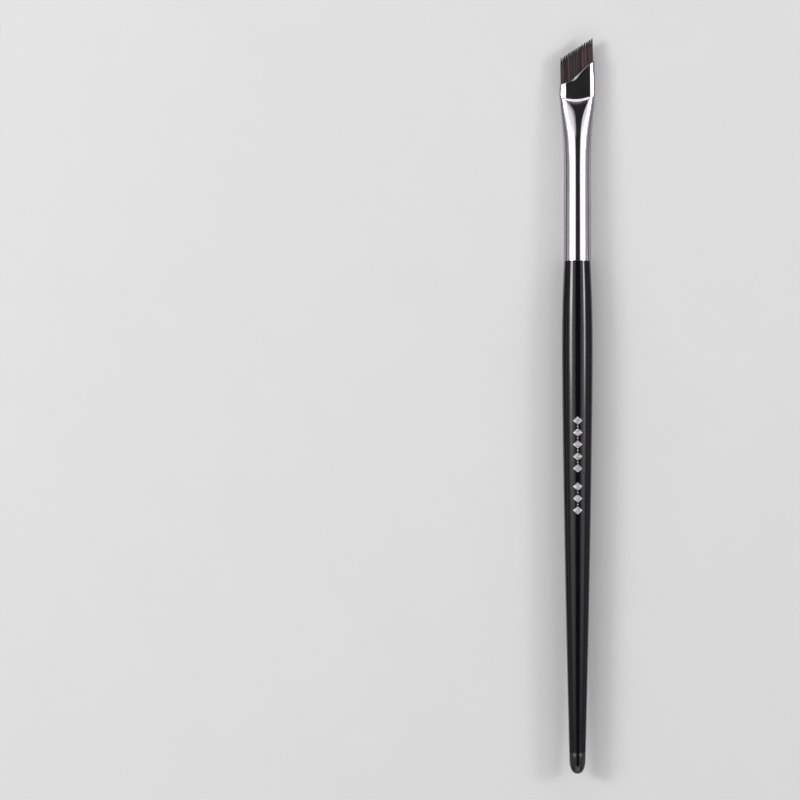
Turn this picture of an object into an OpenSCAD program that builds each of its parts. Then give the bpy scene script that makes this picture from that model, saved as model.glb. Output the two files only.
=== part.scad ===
// Angled eyeliner brush, lying on a table as it comes to rest. Millimetres.
// A turned, lacquered wooden handle carries a plated tube ferrule. The ferrule's head is
// pressed flat and cut on the slant, and holds a knife-thin tuft of synthetic filaments,
// whose roots are potted in adhesive.
// Each piece is drawn standing, with the brush's axis on Z, z = 0 at the ferrule's rim on
// the handle, the head up and the broad front facing -Y. at_rest() then lays the brush
// down on z = 0, with its head towards +Y and its front up.

/* [Handle] */
// Length of the lacquered handle, from the ferrule's rim to the end of the tail
handle_len = 118.5; // [90:0.5:150]
// Diameter of the handle at its thickest place
belly_d = 7.13; // [6.6:0.01:9]
// Distance from the ferrule's rim to the thickest place
belly_pos = 20; // [12:0.5:45]
// Diameter that the taper would reach at the very end of the tail
tail_d = 3.56; // [2.6:0.02:5]
// How the taper bends: 1 is a straight cone, higher keeps the belly full for longer
taper_power = 1.45; // [1.1:0.05:2.4]
// Length of the rounded end of the tail
dome_len = 3.6; // [1.5:0.1:4]
// Fullness of that end: 2 is an ellipse, higher is blunter
dome_fullness = 2.5; // [2:0.1:4]
// Length of the extra coat of gloss lacquer that the tail was dipped in
dip_len = 4.8; // [4.5:0.1:12]
// Thickness of that extra coat
dip_coat = 0.04; // [0.02:0.01:0.1]
// Step from the ferrule's outer face down to the lacquer of the neck
neck_step = 0.12; // [0.05:0.01:0.18]

/* [Tenon] */
// Length of the bare wooden tenon inside the ferrule
tenon_len = 14; // [8:0.5:16]
// Radial clearance of the tenon in the ferrule
tenon_fit = 0.03; // [0.02:0.01:0.08]
// Chamfer on the tenon's end
tenon_chamfer = 0.6; // [0.2:0.1:1.2]

/* [Ferrule] */
// Outer diameter of the ferrule at its rim on the handle
rim_d = 6.25; // [5.8:0.01:6.5]
// Outer diameter of the tube where its flattening begins
tube_d = 6.13; // [5.8:0.01:6.5]
// Wall thickness of the tube
wall = 0.25; // [0.2:0.01:0.36]
// Length of the round tube
tube_len = 17.3; // [16.5:0.1:30]
// Length of the ramp from the round tube to the crease
ramp_len = 20.6; // [14:0.1:28]
// Thickness that the ramp would reach at the crease if it had no pressed step
ramp_end_t = 2.76; // [2.6:0.02:3.6]
// How late the ramp thins: 1 is a straight wedge, higher keeps the tube round for longer
ramp_power = 3.4; // [1.6:0.1:4]
// How late the ramp's sections turn from ellipses into flat-sided ovals
flat_power = 10; // [3:0.5:14]
// Length of the rounded step from the ramp down to the flat panel
step_len = 0.6; // [0.4:0.05:2]
// Length of the flat panel on the axis, from the crease to the mouth
panel_len = 5.55; // [5:0.05:8]
// Thickness across the two flat panels at the crease
crease_t = 2.42; // [2.2:0.02:2.6]
// Thickness across the two flat panels at the mouth
mouth_t = 2.64; // [2.4:0.02:2.9]
// How much thinner the panel is pressed half way along than at its two ends
panel_waist = 0.2; // [0:0.02:0.3]
// Height of the mouth's long side over its short side
mouth_rise = 5.5; // [3:0.1:6]
// How far the middle of the crease bows towards the handle
crease_sag = 0.6; // [0:0.05:0.8]
// How far the crease climbs from the short side to the long side
crease_slant = 0.4; // [0:0.05:0.8]
// How far the mouth's rounded lip turns in
lip_turn = 0.12; // [0.04:0.01:0.16]

/* [Bristles] */
// Free length of the tuft on the axis, from the mouth to the tips
tuft_out = 5.75; // [4.5:0.05:9]
// Height of the tuft's long side over its short side
tip_rise = 4.9; // [2:0.1:6]
// Thickness of the tuft over its filament axes at the tips
tip_t = 0.5; // [0.4:0.05:0.9]
// Distance between neighbouring filaments in a row
filament_pitch = 0.255; // [0.24:0.005:0.4]
// Gap between neighbouring filaments at their roots
filament_gap = 0.03; // [0.02:0.01:0.06]
// Diameter of a filament at its tip
filament_tip_d = 0.12; // [0.08:0.01:0.14]
// How much wider the tuft fans out at its tips than at its roots
tip_fan = 1.06; // [1:0.01:1.12]
// How far the tips lean towards the short side
tip_lean = 0.2; // [0:0.02:0.4]
// How far filament tips scatter above and below the slanted line
tip_scatter = 0.22; // [0:0.02:0.4]

/* [Bond] */
// Gap of the adhesive film round the potted roots and inside the ferrule
bond_gap = 0.03; // [0.02:0.01:0.05]
// How far the potted roots reach below the crease
root_len = 5; // [3:0.5:7]
// Thickness of adhesive below the ends of the roots
plug_floor = 2; // [1:0.5:4]
// Depth of the bonded top of the roots below the mouth
root_recess = 1; // [0.8:0.1:1.4]

/* [Hidden] */

// Smoothness: points round a ferrule section, and rings along each zone of it
around = 64;
ramp_rings = 14;
step_rings = 6;
panel_rings = 6;
lip_rings = 3;
belly_points = 14;
taper_points = 36;
dome_points = 12;
scatter_seed = 7;

rim_r = rim_d / 2;
tube_r = tube_d / 2;
belly_r = belly_d / 2;
tail_r = tail_d / 2;
neck_r = rim_r - neck_step;
crease_z = tube_len + ramp_len;
mouth_z = crease_z + panel_len;
tip_z = mouth_z + tuft_out;
step_share = step_len / ramp_len;
lip_share = 0.08;
dip_edge = 0.3;

function mix(a, b, share) = a + (b - a) * share;

// Handle outline: radius at the distance d from the ferrule's rim towards the tail.
// A parabola swells from the neck to the belly, and a power curve tapers to the tail.
function taper_r(d) = d <= belly_pos
    ? mix(belly_r, neck_r, pow(1 - d / belly_pos, 2))
    : mix(belly_r, tail_r, pow((d - belly_pos) / (handle_len - belly_pos), taper_power));
function dip_r(d) = dip_coat * min(1, max(0, (d - handle_len + dip_len) / dip_edge));
function handle_r(d) = taper_r(d) + dip_r(d);

dome_start = handle_len - dome_len;
dip_start = handle_len - dip_len;
front_stations = [for (i = [0 : belly_points]) belly_pos * i / belly_points];
taper_stations = [for (i = [1 : taper_points]) mix(belly_pos, dip_start, i / taper_points)];
handle_stations = concat(front_stations, taper_stations, [dip_start + dip_edge]);
dome_outline = [for (i = [0 : dome_points])
    let (turn = 90 * i / dome_points, bend = 2 / dome_fullness,
         d = dome_start + dome_len * pow(sin(turn), bend))
    [i == dome_points ? 0 : handle_r(d) * pow(cos(turn), bend), -d]];

// The tube keeps its girth when it is pressed, so the thickness of a section gives its
// width: of an ellipse along the ramp (Peano's girth), and of a flat-sided oval at the head.
function oval_half_w(half_t) = half_t + PI / 2 * (tube_r - half_t);
function ellipse_half_w(half_t) = pow((sqrt(half_t) + sqrt(12 * tube_r - 8 * half_t)) / 3, 2);

// A point at the share s of a quarter's girth, from the front towards the side, as
// [width, depth], on an ellipse and on an oval with flat sides and round ends
function ellipse_point(s, half_w, half_t) =
    let (lag = (half_w - half_t) / (half_w + half_t) / 2 * 180 / PI,
         turn = 90 * s - lag * sin(180 * s))
    [half_w * sin(turn), half_t * cos(turn)];
function oval_point(s, half_w, half_t) =
    let (flat = half_w - half_t, run = s * (flat + PI / 2 * half_t))
    run < flat ? [run, half_t]
    : let (turn = (run - flat) / half_t * 180 / PI)
    [flat + half_t * sin(turn), half_t * cos(turn)];

// Sections along the ferrule. Station 0 to 1 is the round tube, 1 to 2 the ramp with the
// pressed step at its end, and 2 to 3 the flat panel up to the slanted mouth.
function ramp_t(v) = mix(tube_r, ramp_end_t / 2, pow(v, ramp_power));
function step_share_at(v) = pow(max(0, 1 - (1 - v) / step_share), 2);
function panel_t(v) = (mix(crease_t, mouth_t, v) - panel_waist * 4 * v * (1 - v)) / 2;
// Half thickness, half width and flatness of the outer section at a station
function section(station) = station <= 1
    ? [mix(rim_r, tube_r, station), mix(rim_r, tube_r, station), 0]
    : station < 2
    ? let (v = station - 1, flat = pow(v, flat_power),
           t = mix(ramp_t(v), panel_t(0), step_share_at(v)))
      [t, mix(ellipse_half_w(t), oval_half_w(t), flat), flat]
    : let (t = panel_t(station - 2)) [t, oval_half_w(t), 1];

function crease_at(turn) = crease_z + crease_slant / 2 * sin(turn) - crease_sag * pow(cos(turn), 2);
// The mouth was cut straight across the round tube, so it is a sine along the girth.
function mouth_at(turn) = mouth_z + mouth_rise / 2 * sin(turn);
function height(station, turn) = station <= 1
    ? tube_len * station
    : station < 2
    ? mix(tube_len, crease_at(turn), station - 1)
    : mix(crease_at(turn), mouth_at(turn), station - 2);

// Stations of the rings along the ramp, closer together towards the crease
ramp_stations = [for (i = [0 : ramp_rings]) 1 + (1 - step_share) * (1 - pow(1 - i / ramp_rings, 1.5))];

// One ring of points round the ferrule, set in from its outer face
function ring(station, inset) =
    let (size = section(station), t = size[0] - inset, w = size[1] - inset)
    [for (i = [0 : around - 1])
        let (turn = 360 * i / around,
             s = 1 - abs(1 - abs((turn % 180) / 90)),
             round_p = ellipse_point(s, w, t),
             flat_p = oval_point(s, w, t),
             p = mix(round_p, flat_p, size[2]))
        [p[0] * (turn < 180 ? 1 : -1),
         p[1] * (turn < 90 || turn > 270 ? -1 : 1),
         height(station, turn)]];

// A skin of rings, each joined to the next. A closed skin joins its last ring to its first,
// and an open one is capped at both ends by a fan round a middle point.
module skin(rings, closed) {
    count = len(rings);
    spans = closed ? count - 1 : count - 2;
    middles = closed ? [] : [
        [0, 0, rings[0][0][2]],
        [0, 0, rings[count - 1][0][2]]];
    sides = [for (k = [0 : spans], i = [0 : around - 1])
        let (j = (i + 1) % around, n = (k + 1) % count,
             a = k * around + i, b = k * around + j,
             c = n * around + j, d = n * around + i)
        each [[a, c, b], [a, d, c]]];
    caps = closed ? [] : [for (i = [0 : around - 1])
        let (j = (i + 1) % around, last = (count - 1) * around)
        each [[i, j, count * around], [last + j, last + i, count * around + 1]]];
    polyhedron(concat([for (r = rings) each r], middles), concat(sides, caps));
}

// Where the brush touches the table: the line from the ferrule's underside to the handle's
// that stands furthest out at the rim. Its slope tips the head down.
ferrule_contacts = [for (i = [0 : 40])
    let (station = 1 + i / 40) [height(station, 90), section(station)[0]]];
rest_lines = [for (f = ferrule_contacts, d = handle_stations)
    [(f[1] * d + taper_r(d) * f[0]) / (f[0] + d), (taper_r(d) - f[1]) / (f[0] + d)]];
rim_stand = max([for (line = rest_lines) line[0]]);
rest_slope = [for (line = rest_lines) if (line[0] == rim_stand) line[1]][0];
rest_tilt = atan(rest_slope);
rest_height = rim_stand * cos(rest_tilt);
tip_top = tip_z + tip_rise / 2;
middle_z = (tip_top - handle_len) / 2;

module at_rest() {
    translate([0, -middle_z * cos(rest_tilt), rest_height])
        rotate([-90 - rest_tilt, 0, 0])
            children();
}

module handle() {
    tenon_r = rim_r - wall - tenon_fit;
    tenon_end_r = mix(rim_r, tube_r, tenon_len / tube_len) - wall - tenon_fit;
    outline = concat(
        [[0, tenon_len], [tenon_end_r - tenon_chamfer / 2, tenon_len],
         [tenon_end_r, tenon_len - tenon_chamfer], [tenon_r, 0]],
        [for (d = handle_stations) [handle_r(d), -d]],
        dome_outline);
    color([0.07, 0.065, 0.075])
        rotate_extrude($fn = 96) polygon(outline);
}

module ferrule() {
    ledge = [for (i = [1 : step_rings]) 2 - step_share * (1 - i / step_rings)];
    panel = [for (i = [1 : panel_rings]) 2 + (1 - lip_share) * i / panel_rings];
    bore = [for (i = [ramp_rings : -1 : 0]) ramp_stations[i]];
    lip = [for (i = [1 : lip_rings])
        let (turn = 90 * i / lip_rings)
        ring(3 - lip_share * (1 - sin(turn)), lip_turn * (1 - cos(turn)))];
    color([0.78, 0.77, 0.79])
        skin(concat(
            [for (t = concat([0], ramp_stations, ledge, panel)) ring(t, 0)],
            lip,
            [for (t = concat([3], [for (i = [step_rings - 1 : -1 : 1]) ledge[i]], bore, [0]))
                ring(t, wall)]),
            closed = true);
}

// Outline of the bonded roots: a flat-sided oval of half width w and half thickness t
module root_oval(w, t) {
    hull_w = w - t;
    union() {
        square([2 * hull_w, 2 * t], center = true);
        for (side = [-1, 1])
            translate([side * hull_w, 0]) circle(r = t, $fn = 48);
    }
}

// The roots narrow below the crease, as the ferrule does.
root_t = min([for (i = [0 : 10]) panel_t(i / 10)]) - wall - bond_gap;
root_w = oval_half_w(mouth_t / 2) - wall - bond_gap;
tang_t = root_t - 0.08;
tang_w = section(2 - root_len / ramp_len)[1] - wall - 0.4;
root_floor_z = crease_z + crease_slant / 2 + bond_gap;
tang_floor_z = crease_z - root_len;

module adhesive_plug() {
    low = 2 - (root_len + plug_floor) / ramp_len;
    stations = concat([low], [for (station = ramp_stations) if (station > low) station]);
    color([0.85, 0.8, 0.66])
        difference() {
            skin([for (station = stations) ring(station, wall + bond_gap)], closed = false);
            translate([0, 0, tang_floor_z - bond_gap])
                linear_extrude(ramp_len) root_oval(tang_w + bond_gap, tang_t + bond_gap);
        }
}

// Filaments stand in staggered rows inside the root's oval, and the rows close up
// towards the tips to form the knife edge.
filament_r = (filament_pitch - filament_gap) / 2;
row_pitch = filament_pitch * sin(60);
rows = floor((root_t - 0.03 - filament_r) / row_pitch);
columns = floor(root_w / filament_pitch);
tip_slope = tip_rise / (2 * root_w);
mouth_slope = mouth_rise / (2 * root_w);
tip_scatters = rands(-tip_scatter, tip_scatter, (2 * rows + 1) * (2 * columns + 1), scatter_seed);

function root_top(x) = mouth_z - root_recess + mouth_slope * x;
function tip_top_at(x) = tip_z + tip_slope * x;
// A filament starts below the bonded top, and has leaned out by mouth_lean at the mouth.
filament_sunk = 0.35;
mouth_lean = ((tip_fan - 1) * root_w + tip_lean) * (root_recess + filament_sunk)
    / (root_recess + filament_sunk + tuft_out);
function in_root(x, y) =
    let (past = max(0, abs(x) + mouth_lean - (root_w - root_t)))
    sqrt(past * past + y * y) < root_t - filament_r - 0.015;

module filament(x, y, scatter) {
    low = root_top(x) - filament_sunk;
    tip_y = y / (rows * row_pitch) * tip_t / 2;
    tip_x = x * tip_fan - tip_lean;
    run = [tip_x - x, tip_y - y, tip_top_at(x) + scatter - low];
    translate([x, y, low])
        rotate([0, acos(run[2] / norm(run)), atan2(run[1], run[0])])
            cylinder(h = norm(run), r1 = filament_r, r2 = filament_tip_d / 2, $fn = 16);
}

module bristle_tuft() {
    color([0.13, 0.09, 0.09])
        union() {
            intersection() {
                translate([0, 0, root_floor_z]) linear_extrude(tip_z) root_oval(root_w, root_t);
                rotate([90, 0, 0])
                    linear_extrude(4 * root_t, center = true)
                        polygon([[-root_w - 1, 0], [root_w + 1, 0],
                            [root_w + 1, root_top(root_w + 1)], [-root_w - 1, root_top(-root_w - 1)]]);
            }
            translate([0, 0, tang_floor_z])
                linear_extrude(root_len + crease_slant / 2 + 3 * bond_gap) root_oval(tang_w, tang_t);
            for (row = [-rows : rows], column = [-columns : columns]) {
                x = (column + (row % 2 == 0 ? 0 : 0.5)) * filament_pitch;
                y = row * row_pitch;
                if (in_root(x, y))
                    filament(x, y, tip_scatters[(row + rows) * (2 * columns + 1) + column + columns]);
            }
        }
}

at_rest() handle();
at_rest() ferrule();
at_rest() adhesive_plug();
at_rest() bristle_tuft();
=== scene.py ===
"""The angled eyeliner brush, dressed and lit as in its photograph.

The brush lies on a pale floor, and the camera looks straight down on it. Its forms are
worked out in millimetres with the brush standing: the axis on Z with 0 at the ferrule's rim
on the handle, the head up and the front facing -Y. to_row() then lays each point in the row
frame, in metres. The floor, the lamps and the cards are in metres from the start.
"""

import math
import random

import bpy
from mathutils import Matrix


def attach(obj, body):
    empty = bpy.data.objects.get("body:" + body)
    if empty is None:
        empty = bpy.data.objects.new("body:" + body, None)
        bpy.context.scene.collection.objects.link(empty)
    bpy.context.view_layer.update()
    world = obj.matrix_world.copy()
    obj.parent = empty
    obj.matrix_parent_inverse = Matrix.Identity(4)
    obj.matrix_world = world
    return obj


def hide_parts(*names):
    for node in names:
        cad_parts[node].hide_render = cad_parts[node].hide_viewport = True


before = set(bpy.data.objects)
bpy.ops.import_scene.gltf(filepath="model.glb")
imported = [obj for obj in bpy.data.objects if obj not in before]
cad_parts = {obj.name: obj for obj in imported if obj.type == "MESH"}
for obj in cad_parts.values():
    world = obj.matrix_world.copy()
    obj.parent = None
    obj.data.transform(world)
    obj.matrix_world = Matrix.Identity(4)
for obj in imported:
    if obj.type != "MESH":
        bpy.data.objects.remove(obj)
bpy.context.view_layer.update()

# Handle
HANDLE_LEN = 118.5
BELLY_R = 7.13 / 2
BELLY_POS = 20.0
TAIL_R = 3.56 / 2
TAPER_POWER = 1.45
DOME_LEN = 3.6
DOME_FULLNESS = 2.5
DIP_LEN = 4.8
DIP_COAT = 0.04
DIP_EDGE = 0.6
TENON_LEN = 14.0
TENON_FIT = 0.03
TENON_LEAD = 0.6
TENON_CHAMFER = 0.35
TENON_TAPER = 0.05
NECK_EASE = 0.03
POLE_R = 0.02
BODY_START = 0.4
BODY_PITCH = 0.65
BODY_RINGS = 174

# Ferrule
RIM_R = 6.25 / 2
TUBE_R = 6.13 / 2
NECK_R = RIM_R - 0.12
WALL = 0.25
RIM_EASE = 0.05
TUBE_LEN = 17.3
RAMP_LEN = 20.6
RAMP_END_T = 2.76
RAMP_POWER = 3.4
FLAT_POWER = 10
STEP_LEN = 0.6
PANEL_LEN = 5.55
CREASE_T = 2.42
MOUTH_T = 2.64
PANEL_WAIST = 0.2
BEVEL_ANGLE = 17.0
BEVEL_EASE = 0.04
FLAT_LEFT = 2.65
FLAT_RIGHT = 2.95
MOUTH_RISE = 5.5
MOUTH_SAG = 0.6
CREASE_SAG = 0.6
CREASE_SLANT = 0.4
LIP_W = 0.12
LIP_SWELL = 0.52
LIP_SWELL_X = -0.75
LIP_SWELL_REACH = 1.15
LIP_SLOPE = 0.22
LIP_ROUND = 0.45
STEP_SHARE = STEP_LEN / RAMP_LEN
CREASE_Z = TUBE_LEN + RAMP_LEN
MOUTH_Z = CREASE_Z + PANEL_LEN

# Press marks below the crease
MARKS_START = 0.24
MARKS_LEN = 1.3
MARKS_ON_LINE = 0.6
MARKS_LINE_X = -0.3
MARKS_HALF_W = 2.8
MARKS_FADE = 0.3

# Tuft
TUFT_OUT = 5.75
TIP_RISE = 4.9
BOND_GAP = 0.03
BOND_START = 0.3
BOND_DEPTH = 1.0
TIP_Z = MOUTH_Z + TUFT_OUT
TIP_TOP = TIP_Z + TIP_RISE / 2

# Filaments
SEED = 11
FILAMENT_R = 0.05
FILAMENT_PITCH = 0.1
FILAMENT_CLEAR = 0.01
FILAMENT_START = 1.3
FILAMENT_TAPER = 0.1
PLACE_SPREAD = 0.012
TUFT_LEAN = -0.16
LEAN_POWER = 1.8
SWAY = 0.02
THIN_POWER = 1.15
TIP_SHARE_T = 0.2
TIP_DEPTH_SPREAD = 0.03
TIP_LIFT = 0.01
TIP_SPREAD = 0.04
TIP_ROUND = 0.08
TIP_START = 0.86
TIP_TAPER = 0.3
SIDES = 5
SPANS = 8

# Clumps that the filaments' tips gather in, with a notch near the short side
CLUMP_MIN_W = 0.2
CLUMP_MAX_W = 0.58
CLUMP_LAST_W = 0.4
CLUMP_MIN_LIFT = 0.02
CLUMP_MAX_LIFT = 0.13
CLUMP_DROP = 0.38
CLUMP_PULL = 0.35
PULL_POWER = 5
NOTCH_X = -3.35
NOTCH_W = 0.13
NOTCH_DEPTH = 0.5
CORNER_W = 0.5
CORNER_DROP = 0.3

# Shades of the filaments, from 0, the darkest, to 1
OWN_SHADE = 0.12
TONE_SHADE = 0.54
TONE_POWER = 1.6
TONE_PITCH = 0.26
STREAK_SHADE = 0.34
STREAKS = 24
STREAK_REACH = 0.085
# Painted shade: how much darker the filaments at the long side's corner are made, as if they lay in
# shadow
CORNER_PAINTED_SHADE = 0.6
TIP_SHADE = 0.6

# Ornament: two rows of lozenges with dots between them, by distance from the rim
ORNAMENT_ROWS = ((36.0, 5), (51.2, 3))
LOZENGE_LEN = 1.9
LOZENGE_HALF_W = 1.05
LOZENGE_POINT = 0.03
LOZENGE_PITCH = 2.75
DOT_R = 0.2
DOT_POINT = 0.01
FOIL_T = 0.012
FOIL_SUNK = 0.02

# Photograph: the stretch of floor that the picture spans, and the point at its middle
PICTURE_W = 184.9
PICTURE_MIDDLE = (-40.98, 1.26)
CAMERA_HEIGHT = 1500.0
SENSOR_W = 36

# Floor, with the distances from the brush between which painted shade turns its paper greyer
FLOOR_HALF = 3
FLOOR_NEAR = 0.2
FLOOR_FAR = 1.1

# Lamps over each side, nested so that their light fades outwards: name, the angles from
# straight up, reach, middle along the brush, length and brightness
SIDE_LAMPS = (
    ("wide", 16, 84, 0.96, 0.1, 1.4, 0.25),
    ("middle", 18, 74, 0.93, 0.265, 0.61, 0.47),
    ("inner", 21, 66, 0.9, 0.09, 0.38, 0.467),
    ("inmost", 29, 58, 0.87, 0.02, 0.3, 0.73),
    ("core_head", 44, 60, 0.8, 0.135, 0.11, 18.0),
    ("core_tail", 44, 60, 0.8, 0.045, 0.07, 12.0),
)

# The two sides, with the degrees by which their lamps start further from straight up
LAMP_SIDES = (("left", -1, -2.0), ("right", 1, 5.0))

# One lamp more at the upper left, and one soft box over each end of the brush
WING_LAMP = ("wing_left", (-8, -15), 0.96, 0.46, 0.38, 0.4)
END_LAMPS = (
    ("softbox_head", (42, 72), 0.9, 0.05, 1.2, 1.25),
    ("softbox_tail", (-30, -74), 0.9, -0.05, 1.2, 0.85),
)
LAMP_COLOUR = (1.0, 0.985, 0.99)
WORLD_LEVEL = 0.16

# Dark card over the camera, which the flats of the ferrule mirror
CARD_MIDDLE = (0.07, 0, 1.7)
CARD_HALF_W = 0.55
CARD_HALF_LEN = 1.2
CARD_TONE = 0.11

# Grey flags along both sides, which the round metal mirrors at its edges
FLAG_X = 0.0095
FLAG_HEIGHT = 0.0048
FLAG_LEN = 0.19
FLAG_TONE = 0.26


def mix(a, b, share):
    return a + (b - a) * share


def limited(share):
    return min(1, max(0, share))


# Forms of the handle and of the ferrule


def taper_r(d):
    """Radius of the handle at the distance d from the ferrule's rim."""
    if d <= BELLY_POS:
        return mix(BELLY_R, NECK_R, (1 - d / BELLY_POS) ** 2)
    return mix(BELLY_R, TAIL_R, ((d - BELLY_POS) / (HANDLE_LEN - BELLY_POS)) ** TAPER_POWER)


def handle_r(d):
    """The same radius, with the thicker coat of the dipped tail."""
    return taper_r(d) + DIP_COAT * limited((d - HANDLE_LEN + DIP_LEN) / DIP_EDGE)


def oval_half_w(half_t):
    """Half width of a flat-sided oval with the tube's girth."""
    return half_t + math.pi / 2 * (TUBE_R - half_t)


def ellipse_half_w(half_t):
    """Half width of an ellipse with the tube's girth."""
    return ((math.sqrt(half_t) + math.sqrt(12 * TUBE_R - 8 * half_t)) / 3) ** 2


def ellipse_point(s, half_w, half_t):
    """A point on a quarter of an ellipse, from the middle of its flat side at 0 to its end."""
    lag = (half_w - half_t) / (half_w + half_t) / 2
    turn = math.pi / 2 * s - lag * math.sin(math.pi * s)
    return half_w * math.sin(turn), half_t * math.cos(turn)


def oval_point(s, half_w, half_t):
    """The same on a flat-sided oval, whose ends are half circles."""
    flat = half_w - half_t
    run = s * (flat + math.pi / 2 * half_t)
    if run < flat:
        return run, half_t
    turn = (run - flat) / half_t
    return flat + half_t * math.sin(turn), half_t * math.cos(turn)


def bevelled_t(x, right, half_w, half_t):
    """Half thickness of the panel at x from its middle: flat, then a bevel, then a round edge
    that the bevel runs into."""
    flat = FLAT_RIGHT if right else FLAT_LEFT
    angle = math.radians(BEVEL_ANGLE)
    slope, turn_in = math.tan(angle), (1 - math.sin(angle)) / math.cos(angle)
    join = (half_w - turn_in * (half_t + slope * flat)) / (1 - turn_in * slope)
    if x < join:
        return half_t - slope * BEVEL_EASE * math.log1p(math.exp((x - flat) / BEVEL_EASE))
    r = (half_t - slope * (join - flat)) / math.cos(angle)
    return math.sqrt(max(0, r**2 - (x - half_w + r) ** 2))


def ramp_t(v):
    """Half thickness of the ramp, from the tube at 0 to the foot of the crease at 1."""
    return mix(TUBE_R, RAMP_END_T / 2, v**RAMP_POWER)


def panel_t(v):
    """Half thickness of the waisted panel, from the crease at 0 to the mouth at 1."""
    return (mix(CREASE_T, MOUTH_T, v) - PANEL_WAIST * 4 * v * (1 - v)) / 2


def section(station):
    """Half thickness, half width and flatness. Stations: 0 to 1 tube, to 2 ramp, to 3 panel."""
    if station <= 1:
        r = mix(RIM_R, TUBE_R, station)
        return r, r, 0
    if station < 2:
        v = station - 1
        flat = v**FLAT_POWER
        step = max(0, 1 - (1 - v) / STEP_SHARE) ** 2
        t = mix(ramp_t(v), panel_t(0), step)
        return t, mix(ellipse_half_w(t), oval_half_w(t), flat), flat
    t = panel_t(station - 2)
    return t, oval_half_w(t), 1


def bevel_share(station):
    """The bevels are pressed with the panel: they start over the step at the crease."""
    return limited((station - 2) / STEP_SHARE + 1) ** 2


def crease_at(turn):
    """Height of the crease, round the ferrule from its front: slanted, with a sag."""
    return CREASE_Z + CREASE_SLANT / 2 * math.sin(turn) - CREASE_SAG * math.cos(turn) ** 2


def mouth_at(turn):
    return MOUTH_Z + MOUTH_RISE / 2 * math.sin(turn) - MOUTH_SAG * math.cos(turn) ** 2


def height(station, turn):
    if station <= 1:
        return TUBE_LEN * station
    if station < 2:
        return mix(TUBE_LEN, crease_at(turn), station - 1)
    return mix(crease_at(turn), mouth_at(turn), station - 2)


def ring(station, inset, around):
    """Points round the ferrule, set in from its outer face."""
    half_t, half_w, flat = section(station)
    points = []
    for i in range(around):
        turn = 2 * math.pi * i / around
        quarter = (turn % math.pi) / (math.pi / 2)
        s = 1 - abs(1 - quarter)
        a = ellipse_point(s, half_w - inset, half_t - inset)
        b = oval_point(s, half_w - inset, half_t - inset)
        x, y = mix(a[0], b[0], flat), mix(a[1], b[1], flat)
        right = turn < math.pi
        y = mix(y, bevelled_t(x, right, half_w - inset, half_t - inset), bevel_share(station))
        front = turn < math.pi / 2 or turn > 3 * math.pi / 2
        points.append((x if right else -x, -y if front else y, height(station, turn)))
    return points


def lip_w(x):
    """Width of the rolled edge of the mouth, which is broadest left of the middle."""
    return LIP_W + LIP_SWELL * math.exp(-(((x - LIP_SWELL_X) / LIP_SWELL_REACH) ** 2))


def panel_ring(share, around):
    """Points round the panel, from the crease at 0 to the foot of the rolled edge at 1."""
    points = ring(2 + share, 0, around)
    return [(x, y, z - lip_w(x) * share) for x, y, z in points]


def lip_ring(share, around):
    """Points round the rolled edge of the mouth, from its foot at 0 to its rim at 1."""
    points = []
    for (x, y, z), (x_in, y_in, z_in) in zip(ring(3, 0, around), ring(3, WALL, around)):
        w = lip_w(x)
        inset = LIP_SLOPE * w * mix(share, share**2, LIP_ROUND) / WALL
        points.append((mix(x, x_in, inset), mix(y, y_in, inset), z - w * (1 - share)))
    return points


# How the brush lies


def resting():
    """Height of the axis at the rim and its slope, where the brush lies on the underside of
    its ferrule and on that of its handle."""
    steps = 40
    stations = [1 + i / steps for i in range(steps + 1)]
    contacts = [(height(station, math.pi / 2), section(station)[0]) for station in stations]
    places = [BELLY_POS * i / steps for i in range(3 * steps // 2 + 1)]
    return max(
        ((r * d + taper_r(d) * z) / (z + d), (taper_r(d) - r) / (z + d))
        for z, r in contacts
        for d in places
    )


STAND, SLOPE = resting()
TILT = math.atan(SLOPE)
REST_HEIGHT = STAND * math.cos(TILT)
MIDDLE_Z = (TIP_TOP - HANDLE_LEN) / 2


def to_row(x, y, z):
    """A point of the standing brush, laid in the row frame."""
    return (
        x / 1000,
        (z * math.cos(TILT) - y * math.sin(TILT) - MIDDLE_Z * math.cos(TILT)) / 1000,
        (REST_HEIGHT - y * math.cos(TILT) - z * math.sin(TILT)) / 1000,
    )


# Meshes


def add_piece(name, points, faces, materials, sharp=None):
    """A smooth mesh piece that rides on the brush. Edges sharper than sharp stay crisp."""
    mesh = bpy.data.meshes.new(name)
    mesh.from_pydata([to_row(*p) for p in points], [], faces)
    mesh.validate()
    mesh.polygons.foreach_set("use_smooth", [True] * len(mesh.polygons))
    if sharp is not None:
        mesh.set_sharp_from_angle(angle=math.radians(sharp))
    for material in materials:
        mesh.materials.append(material)
    piece = bpy.data.objects.new(name, mesh)
    bpy.context.scene.collection.objects.link(piece)
    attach(piece, "root")
    return piece


def set_point_values(piece, name, values):
    """Gives each point of a piece a value that its material reads by name."""
    attribute = piece.data.attributes.new(name, "FLOAT", "POINT")
    attribute.data.foreach_set("value", values)


def skin_faces(count, around, closed=False):
    """Faces between rings of points. A closed skin joins its last ring to its first."""
    faces = []
    for k in range(count if closed else count - 1):
        n = (k + 1) % count
        for i in range(around):
            j = (i + 1) % around
            faces.append((k * around + i, k * around + j, n * around + j, n * around + i))
    return faces


def solid_faces(count, around):
    """Faces between rings of points, with one face over each end."""
    last = (count - 1) * around
    ends = [tuple(reversed(range(around))), tuple(range(last, last + around))]
    return skin_faces(count, around) + ends


def turned(r, z, around):
    """Points round the axis."""
    turns = [2 * math.pi * i / around for i in range(around)]
    return [(r * math.sin(turn), -r * math.cos(turn), z) for turn in turns]


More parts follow.
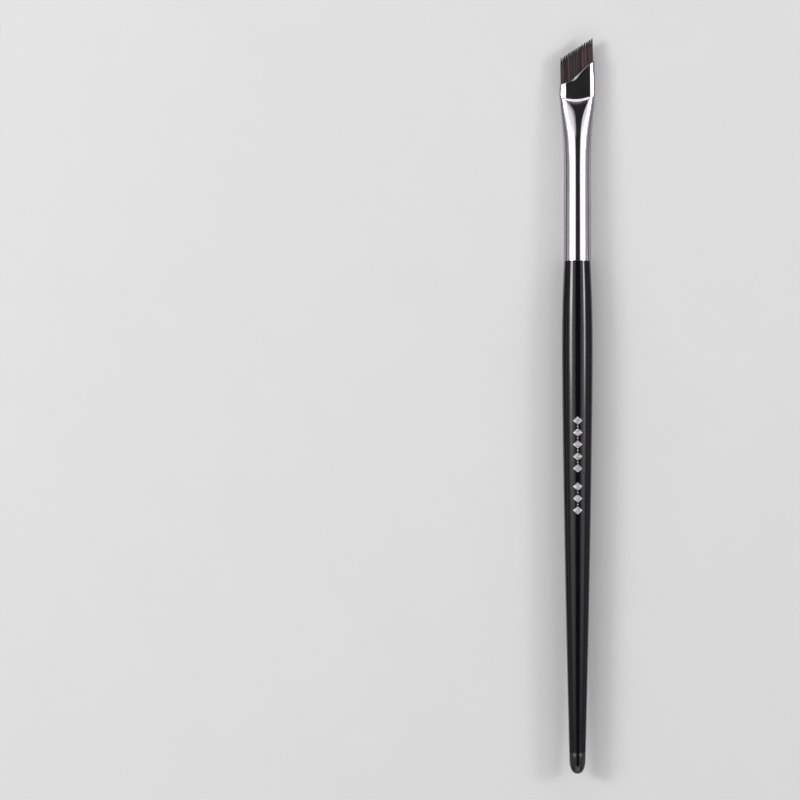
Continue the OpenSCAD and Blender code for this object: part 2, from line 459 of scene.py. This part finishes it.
def handle_outline():
    """Radius and height along the handle, from the tenon's end to the tail, and the number of
    the ring at which the dipped coat starts."""
    tenon_r = RIM_R - WALL - TENON_FIT
    outline = [
        (POLE_R, TENON_LEN),
        (tenon_r - TENON_CHAMFER, TENON_LEN),
        (tenon_r - TENON_TAPER, TENON_LEN - TENON_LEAD),
        (tenon_r, 0.0),
        (NECK_R - NECK_EASE, 0.0),
        (NECK_R, -NECK_EASE),
    ]
    outline += [(handle_r(d), -d) for d in [BODY_START + BODY_PITCH * i for i in range(BODY_RINGS)]]
    dip_ring = len(outline)
    dip_start, dip_steps = HANDLE_LEN - DIP_LEN, 6
    edge = [dip_start + DIP_EDGE * i / dip_steps for i in range(dip_steps + 1)]
    outline += [(handle_r(d), -d) for d in edge]
    dome_steps = 40
    bend = 2 / DOME_FULLNESS
    for i in range(1, dome_steps):
        turn = math.pi / 2 * i / dome_steps
        d = HANDLE_LEN - DOME_LEN + DOME_LEN * math.sin(turn) ** bend
        outline.append((handle_r(d) * math.cos(turn) ** bend, -d))
    outline.append((POLE_R, -HANDLE_LEN))
    return outline, dip_ring


def add_handle(satin, dipped):
    """The turned handle with its tenon and its rounded, dipped tail."""
    around = 128
    outline, dip_ring = handle_outline()
    points = [p for r, z in outline for p in turned(r, z, around)]
    faces = solid_faces(len(outline), around)
    piece = add_piece("handle_lacquered", points, faces, (satin, dipped), 38)
    for k, polygon in enumerate(piece.data.polygons):
        polygon.material_index = 1 if k >= dip_ring * around else 0
    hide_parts("handle")


def crease_bend(x):
    """How far the crease stands above its middle height, x across the front."""
    half_w = oval_half_w(panel_t(0))
    turn = math.pi / 2 * max(-1, min(1, x / half_w))
    return crease_at(turn) - CREASE_Z


def press_mark(below, x):
    """Strength of the press marks at a distance below the crease. They also break up the
    left end of the bright line along it."""
    if 0 < below < MARKS_START:
        return MARKS_ON_LINE * limited(MARKS_LINE_X - x)
    inside = limited((MARKS_HALF_W - abs(x)) / MARKS_FADE)
    return 0 if below <= 0 else inside * max(0, 1 - (below - MARKS_START) / MARKS_LEN)


def add_ferrule(metal):
    """The drawn tube, pressed flat and cut on the slant: its outer face, then its inner."""
    around = 256
    ramp_steps, ledge_steps, panel_steps, lip_steps = 60, 16, 24, 6
    tube = [RIM_EASE / TUBE_LEN, 3 * RIM_EASE / TUBE_LEN, 0.2, 0.4, 0.6, 0.8]
    ramp = [
        1 + (1 - STEP_SHARE) * (1 - (1 - i / ramp_steps) ** 1.3) for i in range(ramp_steps + 1)
    ]
    ledge = [2 - STEP_SHARE * (1 - i / ledge_steps) for i in range(1, ledge_steps + 1)]
    rings = [ring(0, RIM_EASE, around)]
    rings += [ring(station, 0, around) for station in tube + ramp + ledge]
    rings += [panel_ring(i / panel_steps, around) for i in range(1, panel_steps + 1)]
    rings += [lip_ring(i / lip_steps, around) for i in range(1, lip_steps + 1)]
    inner = [3, 2.8, 2.5, 2.2, 2] + ledge[-2::-2] + ramp[::-4] + [0.5, 0]
    rings += [ring(station, WALL, around) for station in inner]
    points = [p for r in rings for p in r]
    faces = skin_faces(len(rings), around, closed=True)
    piece = add_piece("ferrule_plated", points, faces, (metal,), 20)
    marks = [press_mark(CREASE_Z + crease_bend(x) - z, x) for x, y, z in points]
    set_point_values(piece, "marks", marks)
    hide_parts("ferrule")


def root_size():
    """Half thickness and half width of the bonded roots in the ferrule."""
    half_t = min(panel_t(i / 10) for i in range(11)) - WALL - BOND_GAP
    return half_t, oval_half_w(MOUTH_T / 2) - WALL - BOND_GAP


def add_roots(bonded):
    """The block of bonded roots that closes the mouth under the free filaments."""
    around = 96
    half_t, half_w = root_size()
    slope = MOUTH_RISE / 2 / half_w
    outline = []
    for i in range(around):
        turn = 2 * math.pi * i / around
        s = 1 - abs(1 - (turn % math.pi) / (math.pi / 2))
        x, y = oval_point(s, half_w, half_t)
        right, front = turn < math.pi, turn < math.pi / 2 or turn > 3 * math.pi / 2
        y = min(y, bevelled_t(x, right, half_w, half_t))
        outline.append((x if right else -x, -y if front else y))
    points = [(x, y, CREASE_Z + BOND_START) for x, y in outline]
    points += [(x, y, MOUTH_Z - BOND_DEPTH + slope * x) for x, y in outline]
    add_piece("tuft_roots", points, solid_faces(2, around), (bonded,), 40)


def clumps(rng, half_w):
    """The clumps across the tuft: (left, right, how far its tip stands up or back)."""
    edges = [-half_w, NOTCH_X]
    while edges[-1] < half_w - CLUMP_LAST_W:
        edges.append(edges[-1] + rng.uniform(CLUMP_MIN_W, CLUMP_MAX_W))
    edges[-1] = half_w
    count = len(edges) - 1
    lifts = [
        rng.uniform(CLUMP_MIN_LIFT, CLUMP_MAX_LIFT) * (-1) ** (count - 1 - k)
        for k in range(count)
    ]
    return list(zip(edges, edges[1:], lifts))


def filament_places(rng, half_t, half_w):
    """Where each filament stands in the mouth: staggered rows, each place a little off."""
    row_pitch = FILAMENT_PITCH * math.sin(math.radians(60))
    rows = int((half_t - FILAMENT_R) / row_pitch)
    columns = int(half_w / FILAMENT_PITCH)
    for row in range(-rows, rows + 1):
        stagger = 0.5 if row % 2 else 0
        for column in range(-columns, columns + 1):
            x = (column + stagger) * FILAMENT_PITCH + rng.uniform(-PLACE_SPREAD, PLACE_SPREAD)
            y = row * row_pitch + rng.uniform(-PLACE_SPREAD, PLACE_SPREAD)
            past = max(0, abs(x) - (half_w - half_t))
            room = bevelled_t(min(abs(x), half_w), x > 0, half_w, half_t)
            outside = max(math.hypot(past, y) - half_t, abs(y) - room)
            if outside <= -FILAMENT_R - FILAMENT_CLEAR:
                yield x, y


def filament_points(foot, tip, pull, sway):
    """Rings of points round one filament. It leans early and joins its clump near the tip."""
    points = []
    for k in range(SPANS + 1):
        s = k / SPANS
        lean = 1 - (1 - s) ** LEAN_POWER
        x = mix(foot[0], tip[0], lean) + pull * s**PULL_POWER + sway * math.sin(math.pi * s)
        y = mix(foot[1], tip[1], s**THIN_POWER)
        z = mix(foot[2], tip[2], s)
        end = max(0, (s - TIP_START) / (1 - TIP_START)) ** 2
        r = FILAMENT_R * (1 - FILAMENT_TAPER * s - TIP_TAPER * end)
        points += [(x + dx, y + dy, z) for dx, dy, z in turned(r, z, SIDES)]
    return points


def filament_shades(shade):
    """Shades of one filament's points, which darken over its last quarter."""
    shades = []
    for k in range(SPANS + 1):
        shades += [shade * (1 - TIP_SHADE * max(0, 4 * k / SPANS - 3))] * SIDES
    return shades


def streak_share(x, streaks):
    """1 in the middle of a brown streak, 0 away from all of them."""
    return max(max(0, 1 - abs(x - at) / STREAK_REACH) for at in streaks)


def add_filaments(hair):
    """The tuft: tapered filaments in a slanted row that thins to a knife edge."""
    rng = random.Random(SEED)
    half_t, half_w = root_size()
    groups = clumps(rng, half_w)
    streaks = [half_w * (2 * (i + rng.uniform(0.1, 0.9)) / STREAKS - 1) for i in range(STREAKS)]
    tones = [rng.random() ** TONE_POWER for _ in range(int(2 * half_w / TONE_PITCH) + 2)]
    mouth_slope = MOUTH_RISE / 2 / half_w
    tip_slope = TIP_RISE / 2 / half_w
    one = solid_faces(SPANS + 1, SIDES)
    points, faces, shades = [], [], []
    for x, y in filament_places(rng, half_t, half_w):
        left, right, lift = next(g for g in groups if x <= g[1])
        middle = (left + right) / 2
        off = (x - middle) / (right - left) * 2
        corner = max(0, 1 - (half_w - x) / CORNER_W)
        notch = math.exp(-(((x - NOTCH_X) / NOTCH_W) ** 2))
        top = TIP_Z + TIP_LIFT + tip_slope * x + lift - CLUMP_DROP * off**2
        top += rng.uniform(-TIP_SPREAD, TIP_SPREAD)
        top -= TIP_ROUND * abs(y) / half_t + NOTCH_DEPTH * notch + CORNER_DROP * corner
        foot = (x, y, MOUTH_Z - FILAMENT_START + mouth_slope * x)
        tip_x = x + TUFT_LEAN + rng.uniform(-SWAY, SWAY)
        tip_y = y * TIP_SHARE_T + rng.uniform(-TIP_DEPTH_SPREAD, TIP_DEPTH_SPREAD)
        pull = CLUMP_PULL * (middle - x)
        start = len(points)
        points += filament_points(foot, (tip_x, tip_y, top), pull, rng.uniform(-SWAY, SWAY))
        faces += [tuple(start + v for v in face) for face in one]
        shade = OWN_SHADE * rng.random() + TONE_SHADE * tones[int((x + half_w) / TONE_PITCH)]
        shade += STREAK_SHADE * streak_share(x, streaks)
        # Painted shade darkens the filaments at the long side's corner, as if they lay in shadow
        shades += filament_shades(shade * (1 - CORNER_PAINTED_SHADE * corner))
    piece = add_piece("tuft_filaments", points, faces, (hair,))
    set_point_values(piece, "shade", shades)
    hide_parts("bristle_tuft")


def on_handle(d, w, lift):
    """A point at the distance d from the rim and w across the front, lift above the lacquer."""
    r = handle_r(d) + lift
    turn = w / handle_r(d)
    return r * math.sin(turn), -r * math.cos(turn), -d


def add_foil_shape(half_w_at, start, length, steps, points, faces):
    """A thin foil shape on the handle, half_w_at(share) wide either side of the middle: its
    top, its underside in the lacquer, and its edge."""
    across = 8
    for lift in (FOIL_T, -FOIL_SUNK):
        base = len(points)
        for k in range(steps + 1):
            half_w = half_w_at(k / steps)
            for i in range(across + 1):
                w = mix(-half_w, half_w, i / across)
                points.append(on_handle(start + length * k / steps, w, lift))
        for k in range(steps):
            for i in range(across):
                a = base + k * (across + 1) + i
                b = a + across + 1
                faces.append((a, a + 1, b + 1, b) if lift < 0 else (a, b, b + 1, a + 1))
    size = (steps + 1) * (across + 1)
    top, low = len(points) - 2 * size, len(points) - size
    edge = list(range(across + 1))
    edge += [k * (across + 1) + across for k in range(1, steps + 1)]
    edge += [steps * (across + 1) + i for i in range(across - 1, -1, -1)]
    edge += [k * (across + 1) for k in range(steps - 1, 0, -1)]
    for a, b in zip(edge, edge[1:] + edge[:1]):
        faces.append((top + a, top + b, low + b, low + a))


def lozenge_half_w(share):
    return LOZENGE_POINT + LOZENGE_HALF_W * (1 - abs(2 * share - 1))


def dot_half_w(share):
    return DOT_POINT + DOT_R * math.sqrt(max(0, 1 - (2 * share - 1) ** 2))


def add_ornament(foil):
    """Two rows of silver lozenges and dots pressed on the front of the handle."""
    points, faces = [], []
    for start, count in ORNAMENT_ROWS:
        for k in range(count):
            at = start + k * LOZENGE_PITCH
            add_foil_shape(lozenge_half_w, at, LOZENGE_LEN, 16, points, faces)
            if k < count - 1:
                dot_at = at + LOZENGE_LEN + (LOZENGE_PITCH - LOZENGE_LEN) / 2 - DOT_R
                add_foil_shape(dot_half_w, dot_at, 2 * DOT_R, 10, points, faces)
    add_piece("foil_ornament", points, faces, (foil,), 30)


# Materials


def new_material(name):
    material = bpy.data.materials.new(name)
    material.use_nodes = True
    tree = material.node_tree
    return material, tree, tree.nodes["Principled BSDF"]


def add_noise(tree, scale, detail, stretch=None):
    """Noise in the row frame, stretched along the brush if asked. Returns its value."""
    place = tree.nodes.new("ShaderNodeTexCoord")
    noise = tree.nodes.new("ShaderNodeTexNoise")
    noise.inputs["Scale"].default_value = scale
    noise.inputs["Detail"].default_value = detail
    source = place.outputs["Object"]
    if stretch:
        mapping = tree.nodes.new("ShaderNodeMapping")
        mapping.inputs["Scale"].default_value = stretch
        tree.links.new(source, mapping.inputs["Vector"])
        source = mapping.outputs["Vector"]
    tree.links.new(source, noise.inputs["Vector"])
    return noise.outputs["Fac"]


def read_point_values(tree, name):
    attribute = tree.nodes.new("ShaderNodeAttribute")
    attribute.attribute_name = name
    return attribute.outputs["Fac"]


def add_range(tree, value, low, high, to_low=0.0, to_high=1.0):
    node = tree.nodes.new("ShaderNodeMapRange")
    node.inputs["From Min"].default_value = low
    node.inputs["From Max"].default_value = high
    node.inputs["To Min"].default_value = to_low
    node.inputs["To Max"].default_value = to_high
    tree.links.new(value, node.inputs["Value"])
    return node.outputs["Result"]


def join_values(tree, operation, a, b):
    node = tree.nodes.new("ShaderNodeMath")
    node.operation = operation
    tree.links.new(a, node.inputs[0])
    tree.links.new(b, node.inputs[1])
    return node.outputs["Value"]


def set_colour(tree, shader, value, stops):
    """Colours the surface by a value, with one colour at each stop."""
    ramp = tree.nodes.new("ShaderNodeValToRGB")
    elements = ramp.color_ramp.elements
    while len(elements) < len(stops):
        elements.new(0.5)
    for element, (position, colour) in zip(elements, stops):
        element.position = position
        element.color = (*colour, 1)
    tree.links.new(value, ramp.inputs["Fac"])
    tree.links.new(ramp.outputs["Color"], shader.inputs["Base Color"])


def set_roughness(tree, shader, noise, low, high):
    rough = add_range(tree, noise, 0.3, 0.7, low, high)
    tree.links.new(rough, shader.inputs["Roughness"])


def set_bump(tree, shader, value, strength, distance):
    bump = tree.nodes.new("ShaderNodeBump")
    bump.inputs["Strength"].default_value = strength
    bump.inputs["Distance"].default_value = distance
    tree.links.new(value, bump.inputs["Height"])
    tree.links.new(bump.outputs["Normal"], shader.inputs["Normal"])


def lacquer(name, rough_low, rough_high, coat):
    """Black lacquer over wood: a faint grain telegraphs through it along the brush."""
    material, tree, shader = new_material(name)
    speck = add_noise(tree, 900, 3)
    black = ((0.3, (0.0028, 0.0024, 0.0034)), (0.75, (0.0047, 0.0041, 0.0055)))
    set_colour(tree, shader, speck, black)
    shader.inputs["Specular IOR Level"].default_value = 0.36
    grain = add_noise(tree, 1.0, 4, (1600, 120, 1600))
    set_roughness(tree, shader, grain, rough_low, rough_high)
    shader.inputs["Coat Weight"].default_value = coat
    shader.inputs["Coat Roughness"].default_value = 0.05
    set_bump(tree, shader, grain, 0.12, 0.00002)
    return material


def plated_metal():
    """Bright plating with fine drawing lines, darker where it is seen at a slant, and dulled
    by the press marks, which fade away from the crease down the ramp."""
    material, tree, shader = new_material("bright_plating")
    shader.inputs["Metallic"].default_value = 1.0
    cloud = add_noise(tree, 260, 3)
    set_colour(tree, shader, cloud, ((0.3, (0.75, 0.73, 0.765)), (0.7, (0.825, 0.80, 0.84))))
    shader.inputs["Specular Tint"].default_value = (0.33, 0.31, 0.345, 1)
    lines = add_noise(tree, 1.0, 3, (9000, 160, 9000))
    rough = add_range(tree, lines, 0.3, 0.7, 0.05, 0.11)
    grit = add_range(tree, add_noise(tree, 8500, 2), 0.35, 0.7, 0.12, 0.38)
    marks = join_values(tree, "MULTIPLY", read_point_values(tree, "marks"), grit)
    tree.links.new(join_values(tree, "ADD", rough, marks), shader.inputs["Roughness"])
    set_bump(tree, shader, lines, 0.02, 0.00001)
    return material


def filament_material():
    """Dark synthetic filaments, a few of them browner than the rest. Painted shade darkens those at
    the long side's corner.
    """
    material, tree, shader = new_material("dark_filaments")
    browns = (
        (0.1, (0.0018, 0.0015, 0.0024)),
        (0.32, (0.014, 0.0088, 0.0118)),
        (0.5, (0.060, 0.0275, 0.0300)),
        (0.8, (0.178, 0.073, 0.072)),
    )
    set_colour(tree, shader, read_point_values(tree, "shade"), browns)
    shader.inputs["Specular IOR Level"].default_value = 0.45
    streak = add_noise(tree, 1.0, 2, (7000, 300, 7000))
    set_roughness(tree, shader, streak, 0.34, 0.55)
    return material


def cured_adhesive():
    """Pale amber adhesive, cloudy inside."""
    material, tree, shader = new_material("cured_adhesive")
    cloud = add_noise(tree, 700, 3)
    set_colour(tree, shader, cloud, ((0.3, (0.55, 0.46, 0.28)), (0.7, (0.74, 0.66, 0.47))))
    set_roughness(tree, shader, cloud, 0.2, 0.4)
    return material


def foil_material():
    """Silver foil, worn thin in places."""
    material, tree, shader = new_material("silver_foil")
    shader.inputs["Metallic"].default_value = 1.0
    wear = add_noise(tree, 2600, 4)
    set_colour(tree, shader, wear, ((0.32, (0.42, 0.41, 0.42)), (0.6, (0.78, 0.77, 0.79))))
    set_roughness(tree, shader, wear, 0.42, 0.58)
    return material


def new_matt_material(name):
    material, tree, shader = new_material(name)
    shader.inputs["Roughness"].default_value = 1.0
    shader.inputs["Specular IOR Level"].default_value = 0.0
    return material, tree, shader


def floor_material():
    """Pale paper with a faint mottle, greyed by painted shade far from the brush, where the lamps
    are near it.
    """
    material, tree, shader = new_matt_material("pale_floor")
    place = tree.nodes.new("ShaderNodeTexCoord")
    reach = tree.nodes.new("ShaderNodeVectorMath")
    reach.operation = "LENGTH"
    tree.links.new(place.outputs["Object"], reach.inputs[0])
    # Painted shade: the paper greys from FLOOR_NEAR to FLOOR_FAR away from the brush, where the
    # lamps are nearer
    far = add_range(tree, reach.outputs["Value"], FLOOR_NEAR, FLOOR_FAR, 0.0, 0.9)
    mottle = add_range(tree, add_noise(tree, 60, 4), 0.3, 0.7, 0.0, 0.03)
    shade = join_values(tree, "ADD", far, mottle)
    set_colour(tree, shader, shade, ((0.0, (0.718, 0.72, 0.722)), (0.93, (0.40, 0.401, 0.403))))
    return material


def card_material(name, tone):
    """Matt card of that tone, a little uneven."""
    material, tree, shader = new_matt_material(name)
    greys = ((0.3, (tone * 0.9,) * 3), (0.7, (tone * 1.1,) * 3))
    set_colour(tree, shader, add_noise(tree, 8, 2), greys)
    return material


# Stage


def add_sheet(name, corners, material):
    """A flat stage piece with those four corners."""
    mesh = bpy.data.meshes.new(name)
    mesh.from_pydata(corners, [], [(0, 1, 2, 3)])
    mesh.materials.append(material)
    sheet = bpy.data.objects.new(name, mesh)
    bpy.context.scene.collection.objects.link(sheet)
    return sheet


def add_level_sheet(name, middle, half_x, half_y, material):
    x, y, z = middle
    corners = [(x - half_x, y - half_y, z), (x + half_x, y - half_y, z),
               (x + half_x, y + half_y, z), (x - half_x, y + half_y, z)]
    return add_sheet(name, corners, material)


def add_flag(name, x, material):
    """A low upright card beside the brush, which only the brush's reflections show."""
    low, high = -FLAG_LEN / 2, FLAG_LEN / 2
    corners = [(x, low, 0), (x, high, 0), (x, high, FLAG_HEIGHT), (x, low, FLAG_HEIGHT)]
    flag = add_sheet(name, corners, material)
    flag.visible_camera = False
    flag.visible_diffuse = False
    flag.visible_shadow = False
    flag.visible_transmission = False


def add_lamp(name, angles, reach, middle_y, length, radiance, at_end=False):
    """A soft box that faces the brush and spans those two angles from straight up: over its
    right side, over its left side if they are negative, or, if at_end, over its head or tail."""
    low, high = (math.radians(angle) for angle in angles)
    lean = (low + high) / 2
    lamp = bpy.data.lights.new(name, "AREA")
    lamp.shape = "RECTANGLE"
    width = 2 * reach * math.tan(abs(high - low) / 2)
    lamp.size, lamp.size_y = (length, width) if at_end else (width, length)
    lamp.energy = math.pi * width * length * radiance
    lamp.color = LAMP_COLOUR
    holder = bpy.data.objects.new(name, lamp)
    if at_end:
        holder.location = (0, reach * math.sin(lean) + middle_y, reach * math.cos(lean))
        holder.rotation_euler = (-lean, 0, 0)
    else:
        holder.location = (reach * math.sin(lean), middle_y, reach * math.cos(lean))
        holder.rotation_euler = (0, lean, 0)
    holder.visible_camera = False
    bpy.context.scene.collection.objects.link(holder)


def light_scene():
    """The lamps, the cards that only reflections show, and the world's low even light."""
    for side_name, side, shift in LAMP_SIDES:
        for part, low, high, reach, middle_y, length, radiance in SIDE_LAMPS:
            angles = (side * (low + shift), side * high)
            add_lamp(f"{part}_{side_name}", angles, reach, middle_y, length, radiance)
    add_lamp(*WING_LAMP)
    for values in END_LAMPS:
        add_lamp(*values, at_end=True)
    black = card_material("black_card", CARD_TONE)
    card = add_level_sheet("overhead_card", CARD_MIDDLE, CARD_HALF_W, CARD_HALF_LEN, black)
    card.visible_camera = False
    grey = card_material("grey_flag", FLAG_TONE)
    add_flag("flag_left", -FLAG_X, grey)
    add_flag("flag_right", FLAG_X, grey)
    world = bpy.data.worlds.new("studio")
    world.use_nodes = True
    world.node_tree.nodes["Background"].inputs["Color"].default_value = (*(WORLD_LEVEL,) * 3, 1)
    bpy.context.scene.world = world


def set_camera():
    """The camera, straight above the middle of the picture."""
    camera = bpy.data.cameras.new("camera")
    camera.sensor_width = SENSOR_W
    camera.lens = SENSOR_W * CAMERA_HEIGHT / PICTURE_W
    camera.clip_end = 20
    holder = bpy.data.objects.new("camera", camera)
    x, y = PICTURE_MIDDLE
    holder.location = (x / 1000, y / 1000, (CAMERA_HEIGHT + REST_HEIGHT) / 1000)
    bpy.context.scene.collection.objects.link(holder)
    bpy.context.scene.camera = holder


def dress_plug():
    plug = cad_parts["adhesive_plug"]
    plug.data.materials.clear()
    plug.data.materials.append(cured_adhesive())


def main():
    satin = lacquer("satin_lacquer", 0.09, 0.15, 0.0)
    dipped = lacquer("dipped_lacquer", 0.1, 0.16, 1.0)
    add_handle(satin, dipped)
    add_ferrule(plated_metal())
    hair = filament_material()
    add_filaments(hair)
    add_roots(hair)
    add_ornament(foil_material())
    dress_plug()
    add_level_sheet("floor", (0, 0, 0), FLOOR_HALF, FLOOR_HALF, floor_material())
    light_scene()
    set_camera()
    bpy.context.scene.view_settings.view_transform = "Standard"


main()
